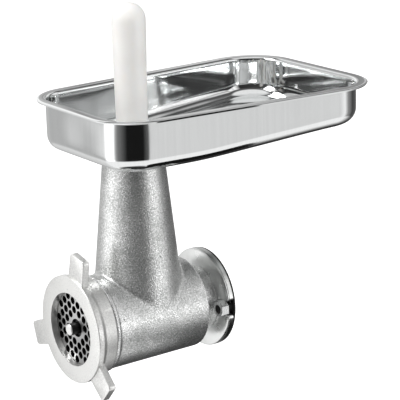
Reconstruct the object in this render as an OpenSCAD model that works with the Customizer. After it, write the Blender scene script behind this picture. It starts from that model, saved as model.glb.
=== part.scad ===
// Meat mincer head: a cast body that bolts to a drive hub, with its feed screw,
// knife, perforated plate, ring nut, feed tray and pusher. Millimetres.
// The drive axis is Y. The hub is at +Y, the ring nut faces -Y, and Z is up.
// The origin is on the drive axis, in the plane of the hub face.

/* [Barrel and feed neck] */
// Outer radius of the barrel behind its front bead
barrel_r = 41.2; // [40.4:0.1:42.4]
// Outer radius of the barrel at its rear end
barrel_rear_r = 40.4; // [39:0.1:41.2]
// Wall between the barrel's outside and its bore
barrel_wall = 8.2; // [8:0.1:8.4]
// Distance from the hub face to the barrel's rear end
barrel_gap = 25; // [24.5:0.5:27]
// Distance from the hub face to the feed neck's axis
neck_back = 72; // [68:1:76]
// Height of the top of the feed neck above the drive axis
neck_top_z = 143.9; // [140:0.1:148]
// Outer radius of the feed neck at its top
neck_top_r = 26.2; // [26:0.1:28]
// How much the feed neck's radius grows for each millimetre downwards
neck_draft = 0.1; // [0.08:0.01:0.1]

/* [Hub end] */
// Outer radius of the rear flange
flange_r = 44.1; // [43.5:0.1:48]
// Thickness of the rear flange
flange_t = 6.4; // [6:0.2:8]
// Thickness of the adapter plate behind the flange
adapter_t = 1.6; // [1.2:0.2:2]
// Radius of the spigot that locates in the hub
spigot_r = 25; // [24:0.5:26]
// Length of the spigot behind the hub face
spigot_len = 10; // [8:0.5:12]
// Distance from the drive axis to each clamp stud
stud_pitch_r = 38.3; // [38:0.1:38.6]
// Width of the open slots in the flange
slot_w = 12; // [10:0.5:13]

/* [Ring nut] */
// Radius of the ring nut's front rim
ring_r = 47; // [46:0.5:49]
// Length of the ring nut from front to back
ring_len = 20.5; // [20:0.5:21]
// Radius of the opening in the front of the ring nut
ring_opening_r = 32; // [31.5:0.1:32.5]
// Distance from the drive axis to the end of each lug
lug_tip_r = 68; // [60:0.5:72]
// Width of a lug where it joins the rim
lug_w = 23; // [18:0.5:24]
// Angle of the first lug above the +X direction
lug_angle = 78.7; // [0:0.1:119]

/* [Cutting parts] */
// Radius of the perforated plate, a size 12 plate
plate_r = 35; // [34.6:0.1:35.4]
// Thickness of the perforated plate
plate_t = 8; // [7:0.5:9]
// Radius of each hole in the plate
hole_r = 3.3; // [1.5:0.1:3.4]
// Spacing between neighbouring holes
hole_pitch = 7.95; // [7.9:0.05:8.1]
// Angle of the hole rows from the +X direction
hole_angle = 41; // [0:1:59]
// Outer radius of the feed screw's flight
flight_r = 31; // [30:0.1:31.2]
// Distance the flight advances in one turn
flight_pitch = 28; // [22:1:34]

/* [Tray] */
// Length of the tray over its rim
tray_len = 270.4; // [240:1:300]
// Width of the tray's rim at the neck end
tray_front_w = 155.6; // [140:1:180]
// Width of the tray's rim at the hub end
tray_rear_w = 190.6; // [160:1:210]
// Height of the top of the tray's rim
tray_rim_z = 188.8; // [180:1:200]
// Width of the flat rim
rim_w = 10; // [8:0.5:12]
// Corner radius of the rim
rim_corner_r = 45; // [40:1:50]
// Corner radius of the walls at the neck end
front_wall_r = 28; // [24:1:35]
// Corner radius of the walls at the hub end
rear_wall_r = 35; // [28:1:38]
// Radius of the bend between the tray's walls and its floor
tray_bend_r = 13; // [10:0.5:15]
// Rise of the floor from the neck end to the hub end
floor_rise = 9.5; // [4:0.5:12]
// Thickness of the tray's sheet
sheet_t = 0.9; // [0.8:0.1:1]

/* [Pusher] */
// Radius of the pusher's handle just below its domed top
handle_top_r = 14.5; // [13:0.1:15]
// Radius of the pusher's handle above its foot
handle_low_r = 12.7; // [11:0.1:13.5]
// Radius of the pusher's foot
foot_r = 20.6; // [19:0.1:20.8]
// Height of the foot's underside above the drive axis
foot_z = 52; // [50:1:60]
// Height of the pusher's top above the drive axis
pusher_top_z = 272.2; // [250:1:290]

/* [Hidden] */
$fn = 96;

// Clearances: seated faces, turning fits, loose fits, cut overrun, end float, blind ends, plate seat
seat_gap = 0.02;
turn_gap = 0.05;
loose_gap = 0.3;
over = 1;
thrust_gap = 0.1;
bottom_gap = 0.5;
socket_gap = 0.15;

// Stations along the drive axis, from the ring nut back to the hub
ring_front_y = -142;
lip_t = 6.3;
plate_front_y = ring_front_y + lip_t;
plate_back_y = plate_front_y + plate_t;
plate_stand_off = 2.7;
socket_front_y = plate_front_y + plate_stand_off;
ring_back_y = ring_front_y + ring_len;
bead_gap = 0.5;
bead_y = ring_back_y + bead_gap;
bead_len = 3.5;
knife_t = 7.5;
knife_gap = 0.2;
knife_back_y = plate_back_y + knife_gap + knife_t;
screw_front_y = knife_back_y + knife_gap;
barrel_back_y = -barrel_gap;
rear_wall_t = 9;
chamber_back_y = barrel_back_y - rear_wall_t;
washer_t = 2;
washer_r = 24;
screw_back_y = chamber_back_y - washer_t - thrust_gap;
flange_front_y = -adapter_t - flange_t;

// Barrel, neck and hub radii
bore_r = barrel_r - barrel_wall;
thread_r = 39.5;
bead_r = 42.6;
socket_r = plate_r + socket_gap;
rib_h = 1.4;
rib_w = 4;
rib_count = 6;
hub_neck_r = 29;
flange_seat_r = 27;
adapter_r = flange_r - 0.3;
grub_r = 2.5;
bush_r = 15;
journal_r = 11;
bush_front_y = chamber_back_y;
bush_len = 28;
seal_r = 16.5;
seal_len = 5;
throat_top_r = 22.2;
throat_low_r = 29;
throat_low_z = 20;
collar_r = 23;
collar_depth = 22;

// Perforated plate, spindle and key
plate_bore_r = 8;
journal_recess = 2.5;
journal_front_y = plate_front_y + journal_recess;
tip_r = 5.1;
tip_reach = 1.8;
tip_front_y = ring_front_y - tip_reach;
square_w = 12;
spindle_depth = 26;
spindle_root_r = 6;
key_r = 2.2;
key_len = 11;
first_hole_r = 12;
last_hole_r = 29.5;

// Feed screw and its shank
core_front_r = 12;
core_back_r = 16;
flight_tip_t = 5;
flight_inset = 3;
flight_start_y = screw_front_y + flight_inset;
flight_end_y = screw_back_y - flight_inset;
slice_angle = 12;
shank_r = 9;
shank_depth = 30;
tang_t = 8;
tang_len = 8;
journal_recess_back = 2;
journal_end_y = spigot_len - journal_recess_back;
shank_reach = 10;
shank_end_y = spigot_len + shank_reach;
cross_pin_r = 2.5;
pin_len = 28;

// Clamp fasteners, metric size 8
stud_r = 4;
nut_af = 13;
nut_t = 7;
nut_front_y = flange_front_y - nut_t;

// Ring nut
rim_t = 5;
lug_t = 6.5;
lug_back = 1.5;
lug_tip_w = 21.5;
lug_corner = 2;
nut_thread_r = thread_r + loose_gap;

// Tray: plan of the walls, taken from the rim
weld_gap = 0.1;
tray_front_y = -136.6;
tray_back_y = tray_front_y + tray_len;
floor_z = neck_top_z + weld_gap;
flat_floor_reach = 28;
flat_floor_y = -neck_back + flat_floor_reach;
bend_steps = 4;

// Pusher
foot_h = 38;
foot_cone_h = 16;

// Points a cylinder drawn along Z towards +Y instead
module along_y() {
    rotate([-90, 0, 0])
        children();
}

// A round bar on the drive axis between two stations
module bar_y(r, y_from, y_to) {
    translate([0, y_from, 0])
        along_y()
            cylinder(r = r, h = y_to - y_from);
}

// A tapered round bar on the drive axis between two stations
module cone_y(r_from, r_to, y_from, y_to) {
    translate([0, y_from, 0])
        along_y()
            cylinder(r1 = r_from, r2 = r_to, h = y_to - y_from);
}

// Repeats a part on both sides of the drive axis
module both_sides() {
    for (side = [-1, 1])
        translate([side * stud_pitch_r, 0, 0])
            children();
}

// Radius of the feed neck's outside at a height
function neck_r(z) = neck_top_r + (neck_top_z - z) * neck_draft;

// Half the tray's rim width at a station along Y
function tray_half_w(y) =
    (tray_front_w + (tray_rear_w - tray_front_w) * (y - tray_front_y) / tray_len) / 2;

module barrel_outside() {
    bar_y(thread_r, socket_front_y, bead_y + over);
    bar_y(bead_r, bead_y, bead_y + bead_len);
    cone_y(barrel_r, barrel_rear_r, bead_y + bead_len, barrel_back_y);
    bar_y(hub_neck_r, barrel_back_y - over, flange_front_y);
    bar_y(flange_seat_r, flange_front_y - over, 0);
    bar_y(spigot_r, -over, spigot_len);
}

module barrel_inside() {
    difference() {
        bar_y(bore_r, plate_back_y - over, chamber_back_y);
        for (rib = [0 : rib_count - 1])
            rotate([0, (rib + 0.5) * 360 / rib_count, 0])
                translate([bore_r - rib_h, screw_front_y, -rib_w / 2])
                    cube([2 * rib_h, chamber_back_y - screw_front_y + over, rib_w]);
    }
    bar_y(socket_r, socket_front_y - over, plate_back_y);
    bar_y(bush_r + seat_gap, chamber_back_y - over, bush_front_y + bush_len);
    bar_y(seal_r + seat_gap, bush_front_y + bush_len - seat_gap, spigot_len + over);
    rotate([0, -90, 0])
        translate([socket_r, socket_front_y - over, 0])
            along_y()
                cylinder(r = key_r + seat_gap, h = key_len + over + seat_gap);
}

module throat() {
    translate([0, -neck_back, throat_low_z])
        cylinder(r1 = throat_low_r, r2 = throat_top_r, h = neck_top_z - collar_depth - throat_low_z);
    translate([0, -neck_back, neck_top_z - collar_depth - seat_gap])
        cylinder(r = throat_top_r, h = collar_depth + over);
    translate([0, -neck_back, neck_top_z - collar_depth])
        cylinder(r = collar_r + loose_gap, h = collar_depth + over);
}

module housing() {
    color("silver")
        difference() {
            union() {
                barrel_outside();
                translate([0, -neck_back, 0])
                    cylinder(r1 = neck_r(0), r2 = neck_top_r, h = neck_top_z);
            }
            barrel_inside();
            throat();
        }
}

// One slot, from its round inner end out past the rim
module flange_slot() {
    translate([0, flange_front_y - over, 0])
        along_y()
            cylinder(d = slot_w, h = flange_t + 2 * over);
    translate([0, flange_front_y - over, -slot_w / 2])
        cube([flange_r, flange_t + 2 * over, slot_w]);
}

module flange_slots() {
    for (turn = [0, 180])
        rotate([0, turn, 0])
            translate([stud_pitch_r, 0, 0])
                flange_slot();
}

module rear_flange() {
    edge = 1;
    groove = 0.5;
    color("gainsboro")
        difference() {
            union() {
                cone_y(flange_r - edge, flange_r, flange_front_y, flange_front_y + edge);
                bar_y(flange_r, flange_front_y + edge, -adapter_t);
            }
            difference() {
                bar_y(flange_r + over, flange_front_y + 2 * edge, flange_front_y + 2 * edge + groove);
                bar_y(flange_r - groove, flange_front_y, 0);
            }
            bar_y(flange_seat_r + seat_gap, flange_front_y - over, 0);
            flange_slots();
            translate([0, -adapter_t - flange_t / 2, -flange_r - over])
                cylinder(r = grub_r + seat_gap, h = flange_r - flange_seat_r + 2 * over);
        }
}

module adapter_plate() {
    color("dimgray")
        difference() {
            bar_y(adapter_r, -adapter_t, 0);
            bar_y(flange_seat_r + seat_gap, -adapter_t - over, over);
            both_sides()
                bar_y(stud_r + seat_gap, -adapter_t - over, over);
        }
}

module clamp_studs() {
    end_bevel = 0.8;
    color("lightgray")
        both_sides() {
            bar_y(stud_r, nut_front_y, 0);
            cone_y(stud_r - end_bevel, stud_r, nut_front_y - end_bevel, nut_front_y);
        }
}

module clamp_nuts() {
    bevel_r = nut_af / 2;
    color("lightgray")
        both_sides()
            difference() {
                intersection() {
                    translate([0, nut_front_y, 0])
                        along_y()
                            rotate([0, 0, 30])
                                cylinder(r = nut_af / sqrt(3), h = nut_t, $fn = 6);
                    cone_y(bevel_r, bevel_r + 4 * nut_t, nut_front_y, nut_front_y + 2 * nut_t);
                }
                bar_y(stud_r + seat_gap, nut_front_y - over, flange_front_y);
            }
}

module flange_grub_screw() {
    socket_af = 2.5;
    socket_depth = 3;
    screw_len = 9;
    color("dimgray")
        translate([0, -adapter_t - flange_t / 2, -flange_seat_r - screw_len - thrust_gap])
            difference() {
                cylinder(r = grub_r, h = screw_len);
                translate([0, 0, -over])
                    cylinder(r = socket_af / sqrt(3), h = socket_depth + over, $fn = 6);
            }
}

module rear_bush() {
    color("goldenrod")
        difference() {
            bar_y(bush_r, bush_front_y, bush_front_y + bush_len);
            bar_y(journal_r + turn_gap, bush_front_y - over, bush_front_y + bush_len + over);
        }
}

module shaft_seal() {
    seal_front_y = bush_front_y + bush_len + thrust_gap;
    seal_back_y = bush_front_y + bush_len + seal_len;
    color("black")
        difference() {
            bar_y(seal_r, seal_front_y, seal_back_y);
            bar_y(journal_r + turn_gap, seal_front_y - over, seal_back_y + over);
        }
}

module thrust_washer() {
    color("white")
        difference() {
            bar_y(washer_r, chamber_back_y - washer_t, chamber_back_y);
            bar_y(journal_r + turn_gap, chamber_back_y - washer_t - over, chamber_back_y + over);
        }
}

module plate_key() {
    color("lightgray")
        rotate([0, -90, 0])
            translate([socket_r, socket_front_y, 0])
                along_y()
                    cylinder(r = key_r, h = key_len);
}

module flight() {
    flight_len = flight_end_y - flight_start_y;
    turns = flight_len / flight_pitch;
    half_angle = 180 * flight_tip_t / flight_pitch;
    arc_step = half_angle / 3;
    translate([0, flight_start_y, 0])
        along_y()
            linear_extrude(height = flight_len, twist = -360 * turns,
                    slices = ceil(360 * turns / slice_angle), $fn = 12)
                polygon(concat([[0, 0]], [
                    for (a = [-half_angle : arc_step : half_angle + 0.01])
                        flight_r * [cos(a), sin(a)]
                ]));
}

module feed_screw() {
    color("silver")
        difference() {
            union() {
                cone_y(core_front_r, core_back_r, screw_front_y, screw_back_y);
                flight();
            }
            bar_y(spindle_root_r + seat_gap, screw_front_y - over, screw_front_y + spindle_depth);
            bar_y(journal_r + seat_gap, screw_back_y - shank_depth, screw_back_y + over);
            shank_pin_bar(cross_pin_r + seat_gap, core_back_r + flight_r);
        }
}

module shank_pin_bar(r, length) {
    translate([0, screw_back_y - shank_depth / 2, 0])
        cylinder(r = r, h = length, center = true);
}

module drive_shank() {
    color("lightgray")
        difference() {
            union() {
                bar_y(journal_r, screw_back_y - shank_depth + bottom_gap, journal_end_y);
                bar_y(shank_r, journal_end_y - over, shank_end_y);
            }
            for (side = [0, 180])
                rotate([0, side, 0])
                    translate([tang_t / 2, shank_end_y - tang_len, -shank_r - over])
                        cube([shank_r, tang_len + over, 2 * (shank_r + over)]);
            shank_pin_bar(cross_pin_r + seat_gap, 3 * journal_r);
        }
}

module shank_pin() {
    color("gray")
        shank_pin_bar(cross_pin_r, pin_len);
}

module knife_spindle() {
    tip_bevel = 0.8;
    square_back_y = screw_front_y;
    color("lightgray") {
        cone_y(tip_r - tip_bevel, tip_r, tip_front_y, tip_front_y + tip_bevel);
        bar_y(tip_r, tip_front_y + tip_bevel, journal_front_y + over);
        bar_y(plate_bore_r - turn_gap, journal_front_y, plate_back_y);
        intersection() {
            translate([-square_w / 2, plate_back_y - over, -square_w / 2])
                cube([square_w, square_back_y - plate_back_y + over, square_w]);
            bar_y(plate_bore_r - turn_gap, plate_back_y - over, square_back_y);
        }
        bar_y(spindle_root_r, square_back_y - over, square_back_y + spindle_depth - bottom_gap);
    }
}

module knife() {
    hub_r = 13;
    blade_r = bore_r - 1.6;
    blade_w = 11;
    scallop_reach = 2.1 * hub_r;
    color("gainsboro")
        difference() {
            union() {
                bar_y(hub_r, plate_back_y + knife_gap, knife_back_y);
                for (turn = [0 : 90 : 270])
                    rotate([0, turn, 0])
                        translate([0, plate_back_y + knife_gap, -blade_w / 2])
                            cube([blade_r, knife_t, blade_w]);
            }
            translate([0, knife_back_y, 0])
                rotate([0, 45, 0])
                    for (turn = [0 : 90 : 270])
                        rotate([0, turn, 0])
                            translate([scallop_reach, 0, 0])
                                along_y()
                                    cylinder(r = hub_r, h = knife_t, center = true);
            translate([-square_w / 2 - seat_gap, plate_back_y - over, -square_w / 2 - seat_gap])
                cube([square_w + 2 * seat_gap, knife_t + 3 * over, square_w + 2 * seat_gap]);
        }
}

// Centres of the plate's holes: every point of a hexagonal grid inside the drilled band
function plate_holes() = [
    for (i = [-5 : 5], j = [-5 : 5])
        let (
            p = hole_pitch * [
                i * cos(hole_angle) + j * cos(hole_angle + 60),
                i * sin(hole_angle) + j * sin(hole_angle + 60)
            ]
        )
        if (norm(p) > first_hole_r && norm(p) < last_hole_r) p
];

module hole_plate() {
    color("silver")
        difference() {
            bar_y(plate_r, plate_front_y, plate_back_y);
            bar_y(plate_bore_r, plate_front_y - over, plate_back_y + over);
            for (p = plate_holes())
                translate([p[0], 0, p[1]])
                    bar_y(hole_r, plate_front_y - over, plate_back_y + over, $fn = 32);
            rotate([0, -90, 0])
                translate([socket_r, plate_front_y - over, 0])
                    along_y()
                        cylinder(r = key_r + loose_gap, h = plate_t + 2 * over);
        }
}

module ring_lug() {
    root_overlap = 4;
    root_r = ring_r - root_overlap;
    translate([0, ring_front_y + lug_back + lug_t, 0])
        rotate([90, 0, 0])
            linear_extrude(height = lug_t)
                polygon([
                    [root_r, -lug_w / 2],
                    [lug_tip_r - lug_corner, -lug_tip_w / 2],
                    [lug_tip_r, -lug_tip_w / 2 + lug_corner],
                    [lug_tip_r, lug_tip_w / 2 - lug_corner],
                    [lug_tip_r - lug_corner, lug_tip_w / 2],
                    [root_r, lug_w / 2]
                ]);
}

module ring_nut() {
    edge = 1;
    shoulder_len = 2;
    skirt_front_r = 44.6;
    skirt_back_r = 43.2;
    color("lightgray")
        difference() {
            union() {
                cone_y(ring_r - edge, ring_r, ring_front_y, ring_front_y + edge);
                bar_y(ring_r, ring_front_y + edge, ring_front_y + rim_t);
                cone_y(ring_r, skirt_front_r, ring_front_y + rim_t, ring_front_y + rim_t + shoulder_len);
                cone_y(skirt_front_r, skirt_back_r, ring_front_y + rim_t + shoulder_len, ring_back_y);
                for (k = [0 : 2])
                    rotate([0, -lug_angle - 120 * k, 0])
                        ring_lug();
            }
            bar_y(ring_opening_r, ring_front_y - over, plate_front_y + over);
            bar_y(nut_thread_r, plate_front_y, ring_back_y + over);
        }
}

// Centre of one corner of the tray, for an outline that lies an inset inside the rim's edge
function corner_at(side, y, inset, r) = [
    side * (tray_half_w(y) - inset - r),
    y + (y < 0 ? 1 : -1) * (inset + r)
];

// Corner radius of the walls at one end of the tray
function wall_r(y) = y < 0 ? front_wall_r : rear_wall_r;

module rim_plan() {
    hull()
        for (y = [tray_front_y, tray_back_y], side = [-1, 1])
            translate(corner_at(side, y, 0, rim_corner_r))
                circle(r = rim_corner_r);
}

// Plan of the walls, drawn in from their outer face
module wall_plan(step_in) {
    hull()
        for (y = [tray_front_y, tray_back_y], side = [-1, 1])
            translate(corner_at(side, y, rim_w, wall_r(y)))
                circle(r = wall_r(y) - step_in);
}

// One rounded lower corner of the tray's bowl, as discs down the curve of the bend
module bowl_corner(at, z, r, step_in) {
    disc_t = 0.01;
    for (step = [0 : bend_steps])
        let (a = 90 * step / bend_steps, bend_r = tray_bend_r - step_in)
            translate([at[0], at[1], z + tray_bend_r - bend_r * sin(a)])
                cylinder(r = r - tray_bend_r + bend_r * cos(a), h = disc_t, $fn = 32);
}

// The solid that fills the tray out to its walls, drawn in from their outer face
module bowl(step_in, top_z) {
    middle_y = flat_floor_y;
    hull() {
        translate([0, 0, top_z - over])
            linear_extrude(height = over)
                wall_plan(step_in, $fn = 32);
        for (side = [-1, 1]) {
            bowl_corner(corner_at(side, tray_front_y, rim_w, front_wall_r),
                floor_z, front_wall_r, step_in);
            bowl_corner([side * (tray_half_w(middle_y) - rim_w - front_wall_r), middle_y],
                floor_z, front_wall_r, step_in);
            bowl_corner(corner_at(side, tray_back_y, rim_w, rear_wall_r),
                floor_z + floor_rise, rear_wall_r, step_in);
        }
    }
}

module tray() {
    color("gainsboro")
        difference() {
            union() {
                bowl(0, tray_rim_z);
                translate([0, 0, tray_rim_z - sheet_t])
                    linear_extrude(height = sheet_t)
                        rim_plan($fn = 48);
            }
            bowl(sheet_t, tray_rim_z + over);
            translate([0, -neck_back, floor_z - over])
                cylinder(r = collar_r + seat_gap, h = 3 * over);
        }
}

module tray_collar() {
    color("gainsboro")
        translate([0, -neck_back, neck_top_z - collar_depth + loose_gap])
            difference() {
                cylinder(r = collar_r, h = collar_depth - loose_gap + weld_gap + sheet_t);
                translate([0, 0, -over])
                    cylinder(r = throat_top_r, h = collar_depth + 4 * over);
            }
}

module pusher() {
    dome_z = pusher_top_z - handle_top_r;
    handle_z = foot_z + foot_h + foot_cone_h;
    foot_edge = 2;
    color("white")
        translate([0, -neck_back, 0])
            rotate_extrude() {
                polygon([
                    [0, foot_z],
                    [foot_r - foot_edge, foot_z],
                    [foot_r, foot_z + foot_edge],
                    [foot_r, foot_z + foot_h],
                    [handle_low_r, handle_z],
                    [handle_top_r, dome_z],
                    [0, dome_z]
                ]);
                intersection() {
                    translate([0, dome_z])
                        circle(r = handle_top_r);
                    translate([0, dome_z - over])
                        square(handle_top_r + over);
                }
            }
}

housing();
rear_flange();
adapter_plate();
clamp_studs();
clamp_nuts();
flange_grub_screw();
rear_bush();
shaft_seal();
thrust_washer();
plate_key();
feed_screw();
drive_shank();
shank_pin();
knife_spindle();
knife();
hole_plate();
ring_nut();
tray();
tray_collar();
pusher();
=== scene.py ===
# A meat mincer head: a cast alloy body with a feed neck, its hub flange, feed screw, knife,
# perforated plate, lugged ring nut, drawn steel tray and plastic pusher.
# Metres, drive axis along Y with the hub at +Y, Z up.
import math

import bmesh
import bpy
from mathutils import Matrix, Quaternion, Vector


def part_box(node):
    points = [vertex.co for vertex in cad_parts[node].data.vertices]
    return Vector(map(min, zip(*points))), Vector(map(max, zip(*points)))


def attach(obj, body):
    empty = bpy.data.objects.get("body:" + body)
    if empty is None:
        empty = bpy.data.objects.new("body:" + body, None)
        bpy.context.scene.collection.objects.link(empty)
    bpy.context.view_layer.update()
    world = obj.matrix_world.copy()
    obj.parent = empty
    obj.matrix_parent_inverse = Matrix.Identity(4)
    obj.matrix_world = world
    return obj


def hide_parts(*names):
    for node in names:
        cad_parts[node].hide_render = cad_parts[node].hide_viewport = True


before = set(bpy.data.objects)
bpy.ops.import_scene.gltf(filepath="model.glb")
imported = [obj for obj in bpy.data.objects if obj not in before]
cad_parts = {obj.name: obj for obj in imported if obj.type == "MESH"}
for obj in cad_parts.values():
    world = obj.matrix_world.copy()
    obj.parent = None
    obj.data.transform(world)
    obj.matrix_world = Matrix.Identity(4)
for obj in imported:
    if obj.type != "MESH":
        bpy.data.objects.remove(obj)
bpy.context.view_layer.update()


# --- Cast body ------------------------------------------------------------------------------------
# One sand casting in tin-bright aluminium alloy: the barrel, the feed neck and the hub spigot.
# The neck runs into the barrel with small cast fillets, and the skin keeps a fine tumbled grain.
BARREL_R = 0.0412
BARREL_REAR_R = 0.0404
BEAD_R = 0.0426
THREAD_ROOT_R = 0.0384
THREAD_CREST_R = 0.0395
HUB_NECK_R = 0.029
FLANGE_SEAT_R = 0.027
SPIGOT_R = 0.025
BORE_R = 0.033
SOCKET_R = 0.03515
BUSH_R = 0.015
THREAD_PITCH = 0.004
NECK_TOP_R = 0.0262
NECK_DRAFT = 0.1
NECK_ROOT_Z = 0.002
THROAT_TOP_R = 0.0222
THROAT_LOW_R = 0.029
THROAT_LOW_Z = 0.02
COLLAR_SOCKET_R = 0.0233
COLLAR_SOCKET_DEPTH = 0.022
CAST_VOXEL = 0.0009
CAST_EDGE_R = 0.0006
CREASE_REACH = 0.0035
OVERCUT = 0.002

housing_low, housing_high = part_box("housing")
ring_low, ring_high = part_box("ring_nut")
flange_low, flange_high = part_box("rear_flange")
pusher_low, pusher_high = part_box("pusher")
NECK_Y = (pusher_low.y + pusher_high.y) / 2
NECK_TOP_Z = housing_high.z
BARREL_FRONT_Y = housing_low.y
BEAD_GAP = 0.0005
BEAD_LEN = 0.0035
BEAD_FRONT_Y = ring_high.y + BEAD_GAP
BEAD_BACK_Y = BEAD_FRONT_Y + BEAD_LEN
SOCKET_BACK_Y = -0.1277
CHAMBER_BACK_Y = -0.034
BARREL_BACK_Y = -0.025


def mesh_piece(name, verts, faces, smooth_angle=30):
    """A new object from points and faces, shaded smooth up to an angle in degrees."""
    mesh = bpy.data.meshes.new(name)
    mesh.from_pydata([tuple(v) for v in verts], [], faces)
    mesh.validate()
    mesh.update()
    piece = bpy.data.objects.new(name, mesh)
    bpy.context.scene.collection.objects.link(piece)
    shade(piece, smooth_angle)
    return piece


def shade(piece, smooth_angle):
    """Smooth shading with a sharp edge wherever two faces meet at more than an angle in degrees."""
    work = bmesh.new()
    work.from_mesh(piece.data)
    bmesh.ops.recalc_face_normals(work, faces=work.faces)
    for face in work.faces:
        face.smooth = True
    limit = math.radians(smooth_angle)
    for edge in work.edges:
        edge.smooth = len(edge.link_faces) == 2 and edge.calc_face_angle(0) < limit
    work.to_mesh(piece.data)
    work.free()


def rounded(points, radius, steps=4):
    """An open outline of (radius, station) points with every inner corner rounded off."""
    out = [points[0]]
    for before, corner, after in zip(points, points[1:], points[2:]):
        a = Vector(before) - Vector(corner)
        b = Vector(after) - Vector(corner)
        reach = min(radius, a.length * 0.45, b.length * 0.45)
        start = Vector(corner) + a.normalized() * reach
        end = Vector(corner) + b.normalized() * reach
        for step in range(steps + 1):
            t = step / steps
            out.append(tuple(start * (1 - t) ** 2 + Vector(corner) * 2 * t * (1 - t) + end * t * t))
    out.append(points[-1])
    return out


def lathe(name, outline, axis="Y", centre=(0, 0), segments=128, smooth_angle=30):
    """Turns an outline of (radius, station) points round the Y or the Z axis into a closed skin."""
    verts, faces, rings = [], [], []
    for radius, station in outline:
        ring = []
        count = segments if radius > 1e-6 else 1
        for k in range(count):
            turn = 2 * math.pi * k / segments
            u, v = centre[0] + radius * math.cos(turn), centre[1] + radius * math.sin(turn)
            ring.append(len(verts))
            verts.append((u, station, v) if axis == "Y" else (u, v, station))
        rings.append(ring)
    closed = len(rings[0]) > 1 or len(rings[-1]) > 1
    pairs = list(zip(rings, rings[1:]))
    if closed:
        pairs.append((rings[-1], rings[0]))
    for near, far in pairs:
        for k in range(segments):
            m = (k + 1) % segments
            loop = [near[k % len(near)], near[m % len(near)], far[m % len(far)], far[k % len(far)]]
            loop = list(dict.fromkeys(loop))
            if len(loop) > 2:
                faces.append(loop)
    return mesh_piece(name, verts, faces, smooth_angle)


def cut_or_join(piece, tool, operation):
    """Joins a tool to a piece, or cuts it away, and then throws the tool away."""
    step = piece.modifiers.new("cut", "BOOLEAN")
    step.operation = operation
    step.object = tool
    step.solver = "EXACT"
    bake_modifiers(piece)
    bpy.data.objects.remove(tool)


def bake_modifiers(piece):
    """Makes a piece's modifiers part of its mesh."""
    graph = bpy.context.evaluated_depsgraph_get()
    graph.update()
    done = bpy.data.meshes.new_from_object(piece.evaluated_get(graph))
    piece.modifiers.clear()
    piece.data = done


def neck_radius(z):
    return NECK_TOP_R + (NECK_TOP_Z - z) * NECK_DRAFT


def remesh(piece, voxel):
    """Rebuilds a closed piece as one skin of small even faces."""
    step = piece.modifiers.new("skin", "REMESH")
    step.mode = "VOXEL"
    step.voxel_size = voxel
    bake_modifiers(piece)


def soften(piece, near, rounds, factor=0.5):
    """Smooths the points of a piece that a test picks out."""
    work = bmesh.new()
    work.from_mesh(piece.data)
    chosen = [v for v in work.verts if near(v.co)]
    for _ in range(rounds):
        bmesh.ops.smooth_vert(
            work, verts=chosen, factor=factor, use_axis_x=True, use_axis_y=True, use_axis_z=True
        )
    work.to_mesh(piece.data)
    work.free()


def helix(name, root_r, crest_r, pitch, y_from, y_to, per_turn=72):
    """A screw thread round the drive axis: a V ridge that runs out to nothing at both ends."""
    sunk_r = root_r - 0.0003
    verts, faces = [], []
    turns = (y_to - y_from) / pitch - 1
    count = int(turns * per_turn)
    for k in range(count + 1):
        turn = 2 * math.pi * k / per_turn
        y = y_from + pitch * (0.5 + k / per_turn)
        fade = min(1, k / (per_turn / 4), (count - k) / (per_turn / 4))
        crest = root_r + (crest_r - root_r) * fade
        for radius, shift in ((sunk_r, -0.42), (crest, -0.1), (crest, 0.1), (sunk_r, 0.42)):
            verts.append((radius * math.cos(turn), y + shift * pitch, radius * math.sin(turn)))
        if k:
            base = 4 * (k - 1)
            for side in range(4):
                after = (side + 1) % 4
                faces.append((base + side, base + after, base + 4 + after, base + 4 + side))
    faces.append((0, 1, 2, 3))
    faces.append((4 * count + 3, 4 * count + 2, 4 * count + 1, 4 * count))
    return mesh_piece(name, verts, faces, 50)


body_outline = [
    (0, BARREL_FRONT_Y),
    (THREAD_ROOT_R, BARREL_FRONT_Y),
    (THREAD_ROOT_R, BEAD_FRONT_Y),
    (BEAD_R, BEAD_FRONT_Y),
    (BEAD_R, BEAD_BACK_Y),
    (BARREL_R, BEAD_BACK_Y),
    (BARREL_REAR_R, BARREL_BACK_Y),
    (HUB_NECK_R, BARREL_BACK_Y),
    (HUB_NECK_R, flange_low.y),
    (FLANGE_SEAT_R, flange_low.y),
    (FLANGE_SEAT_R, 0),
    (SPIGOT_R, 0),
    (SPIGOT_R, housing_high.y),
    (0, housing_high.y),
]
housing = lathe("cast_body", rounded(body_outline, CAST_EDGE_R, 2), segments=160)
neck_outline = [(0, NECK_ROOT_Z)]
neck_outline += [(neck_radius(z), z) for z in (NECK_ROOT_Z, 0.05, 0.1)]
neck_outline += [(NECK_TOP_R, NECK_TOP_Z), (0, NECK_TOP_Z)]
neck = lathe("cast_neck", neck_outline, "Z", (0, NECK_Y), 160)
cut_or_join(housing, neck, "UNION")
remesh(housing, CAST_VOXEL)


def near_crease(p):
    """True on the band where the neck runs into the barrel."""
    barrel_gap = abs(math.hypot(p.x, p.z) - BARREL_R)
    neck_gap = abs(math.hypot(p.x, p.y - NECK_Y) - neck_radius(p.z))
    return p.z > 0 and max(barrel_gap, neck_gap) < CREASE_REACH


soften(housing, lambda p: True, 2)
soften(housing, near_crease, 22)

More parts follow.
